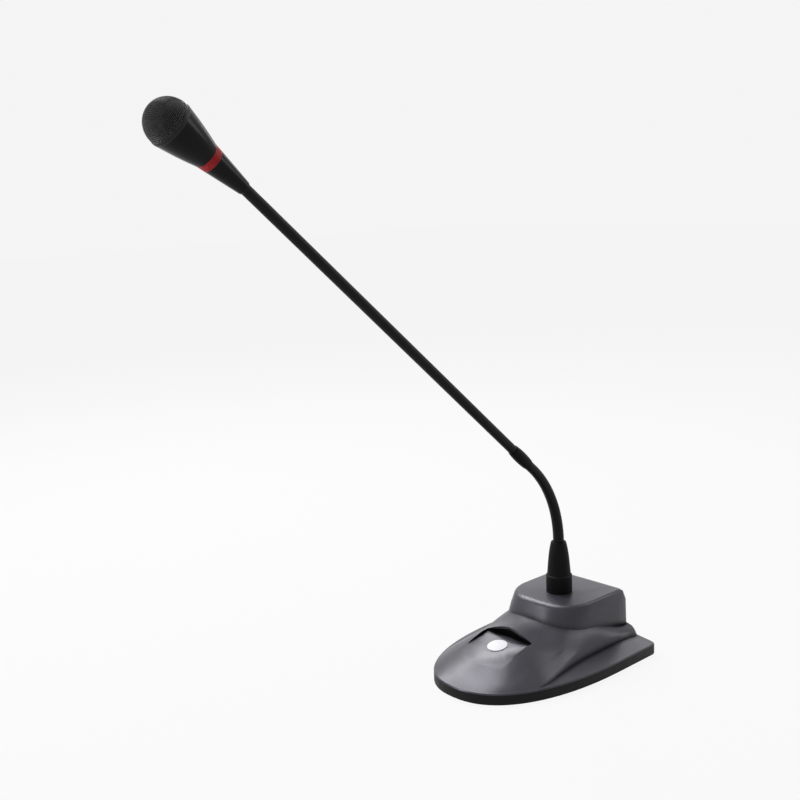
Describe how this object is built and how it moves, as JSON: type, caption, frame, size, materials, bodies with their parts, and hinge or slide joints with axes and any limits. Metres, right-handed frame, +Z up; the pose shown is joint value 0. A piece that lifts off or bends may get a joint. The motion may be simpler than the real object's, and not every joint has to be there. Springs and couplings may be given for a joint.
{
  "type": "gooseneck desk microphone",
  "caption": "Desk microphone with a domed grille and a red light ring on a long tube, held by a bendable gooseneck on a weighted base with a talk button and a rear jack.",
  "frame": {"origin": "on the neck's axis at desk level, under the middle foot", "axes": "+Z up, -Y towards the nose of the base and the microphone head, +X to the right"},
  "size_m": [0.122, 0.3735, 0.4134],
  "materials": {
    "housing": "metallic dark grey, satin",
    "black_plastic": "matt black",
    "gloss_black": "smooth black",
    "neck_black": "satin black",
    "foot_rubber": "matt",
    "steel": "plain",
    "ballast": "raw",
    "board": "solder mask",
    "pale_plastic": "plain",
    "button_white": "smooth white",
    "ring_red": "translucent red",
    "grille": "charcoal",
    "foam": "open foam",
    "capsule_metal": "plain"
  },
  "bodies": {
    "base": {"base_housing": "housing", "bottom_tray": "black_plastic", "feet": "foot_rubber", "tray_screws": "steel", "ballast_plate": "ballast", "main_board": "board", "board_screws": "steel", "lead_connector": "pale_plastic", "neck_lead": "foot_rubber", "switch_board": "board", "switch_screws": "steel", "switch_body": "black_plastic", "jack_socket": "black_plastic", "jack_nut": "steel", "base_ferrule": "black_plastic", "neck_boot": "black_plastic", "boot_ring": "black_plastic", "neck_bush": "steel", "neck_washer": "steel", "neck_nut": "steel", "neck_stub": "neck_black"},
    "button": {"talk_button": "button_white", "switch_plunger": "pale_plastic"},
    "link_1": {"neck_link_1": "neck_black"},
    "link_2": {"neck_link_2": "neck_black"},
    "link_3": {"neck_link_3": "neck_black"},
    "link_4": {"neck_link_4": "neck_black"},
    "link_5": {"neck_link_5": "neck_black"},
    "link_6": {"neck_link_6": "neck_black"},
    "link_7": {"neck_link_7": "neck_black"},
    "link_8": {"neck_link_8": "neck_black"},
    "link_9": {"neck_link_9": "neck_black"},
    "link_10": {"neck_link_10": "neck_black"},
    "link_11": {"neck_link_11": "neck_black"},
    "arm": {"neck_end": "neck_black", "neck_collar": "black_plastic", "upper_tube": "neck_black", "tube_cable": "foot_rubber", "head_rear_cone": "gloss_black", "light_ring": "ring_red", "ring_board": "board", "ring_lights": "pale_plastic", "head_front_cone": "gloss_black", "head_board": "board", "capsule_cup": "foot_rubber", "capsule": "capsule_metal", "foam_liner": "foam", "grille_rim": "grille", "grille_dome": "grille"}
  },
  "joints": [
    {"name": "neck_lean_1", "type": "hinge", "parent": "base", "child": "link_1", "pos_m": [0, 0, 0.0903], "axis": [1, 0, 0], "range_deg": [-8, 7]},
    {"name": "neck_sway_1", "type": "hinge", "parent": "link_1", "child": "link_2", "pos_m": [0, -0.00042, 0.09623], "axis": [0, 0.9944, 0.1056], "range_deg": [-6, 6]},
    {"name": "neck_lean_2", "type": "hinge", "parent": "link_2", "child": "link_3", "pos_m": [0, -0.00125, 0.10211], "axis": [1, 0, 0], "range_deg": [-8, 7]},
    {"name": "neck_sway_2", "type": "hinge", "parent": "link_3", "child": "link_4", "pos_m": [0, -0.0025, 0.10791], "axis": [0, 0.9697, 0.2444], "range_deg": [-6, 6]},
    {"name": "neck_lean_3", "type": "hinge", "parent": "link_4", "child": "link_5", "pos_m": [0, -0.00416, 0.11362], "axis": [1, 0, 0], "range_deg": [-8, 7]},
    {"name": "neck_sway_3", "type": "hinge", "parent": "link_5", "child": "link_6", "pos_m": [0, -0.00621, 0.11919], "axis": [0, 0.9257, 0.3783], "range_deg": [-6, 6]},
    {"name": "neck_lean_4", "type": "hinge", "parent": "link_6", "child": "link_7", "pos_m": [0, -0.00865, 0.12461], "axis": [1, 0, 0], "range_deg": [-8, 7]},
    {"name": "neck_sway_4", "type": "hinge", "parent": "link_7", "child": "link_8", "pos_m": [0, -0.01146, 0.12984], "axis": [0, 0.8633, 0.5047], "range_deg": [-6, 6]},
    {"name": "neck_lean_5", "type": "hinge", "parent": "link_8", "child": "link_9", "pos_m": [0, -0.01464, 0.13486], "axis": [1, 0, 0], "range_deg": [-8, 7]},
    {"name": "neck_sway_5", "type": "hinge", "parent": "link_9", "child": "link_10", "pos_m": [0, -0.01816, 0.13964], "axis": [0, 0.7837, 0.6211], "range_deg": [-6, 6]},
    {"name": "neck_lean_6", "type": "hinge", "parent": "link_10", "child": "link_11", "pos_m": [0, -0.02201, 0.14416], "axis": [1, 0, 0], "range_deg": [-8, 7]},
    {"name": "neck_sway_6", "type": "hinge", "parent": "link_11", "child": "arm", "pos_m": [0, -0.02617, 0.1484], "axis": [0, 0.6886, 0.7251], "range_deg": [-6, 6]},
    {"name": "talk_button_press", "type": "slide", "parent": "base", "child": "button", "axis": [0, 0.1736, -0.9848], "range_m": [0, 0.0012], "stiffness_N_per_m": 600, "springref_m": -0.0008}
  ],
  "couplings": [
    {"joint": "neck_lean_2", "follows": "neck_lean_1", "ratio": 1},
    {"joint": "neck_sway_2", "follows": "neck_sway_1", "ratio": 1},
    {"joint": "neck_lean_3", "follows": "neck_lean_1", "ratio": 1},
    {"joint": "neck_sway_3", "follows": "neck_sway_1", "ratio": 1},
    {"joint": "neck_lean_4", "follows": "neck_lean_1", "ratio": 1},
    {"joint": "neck_sway_4", "follows": "neck_sway_1", "ratio": 1},
    {"joint": "neck_lean_5", "follows": "neck_lean_1", "ratio": 1},
    {"joint": "neck_sway_5", "follows": "neck_sway_1", "ratio": 1},
    {"joint": "neck_lean_6", "follows": "neck_lean_1", "ratio": 1},
    {"joint": "neck_sway_6", "follows": "neck_sway_1", "ratio": 1}
  ]
}
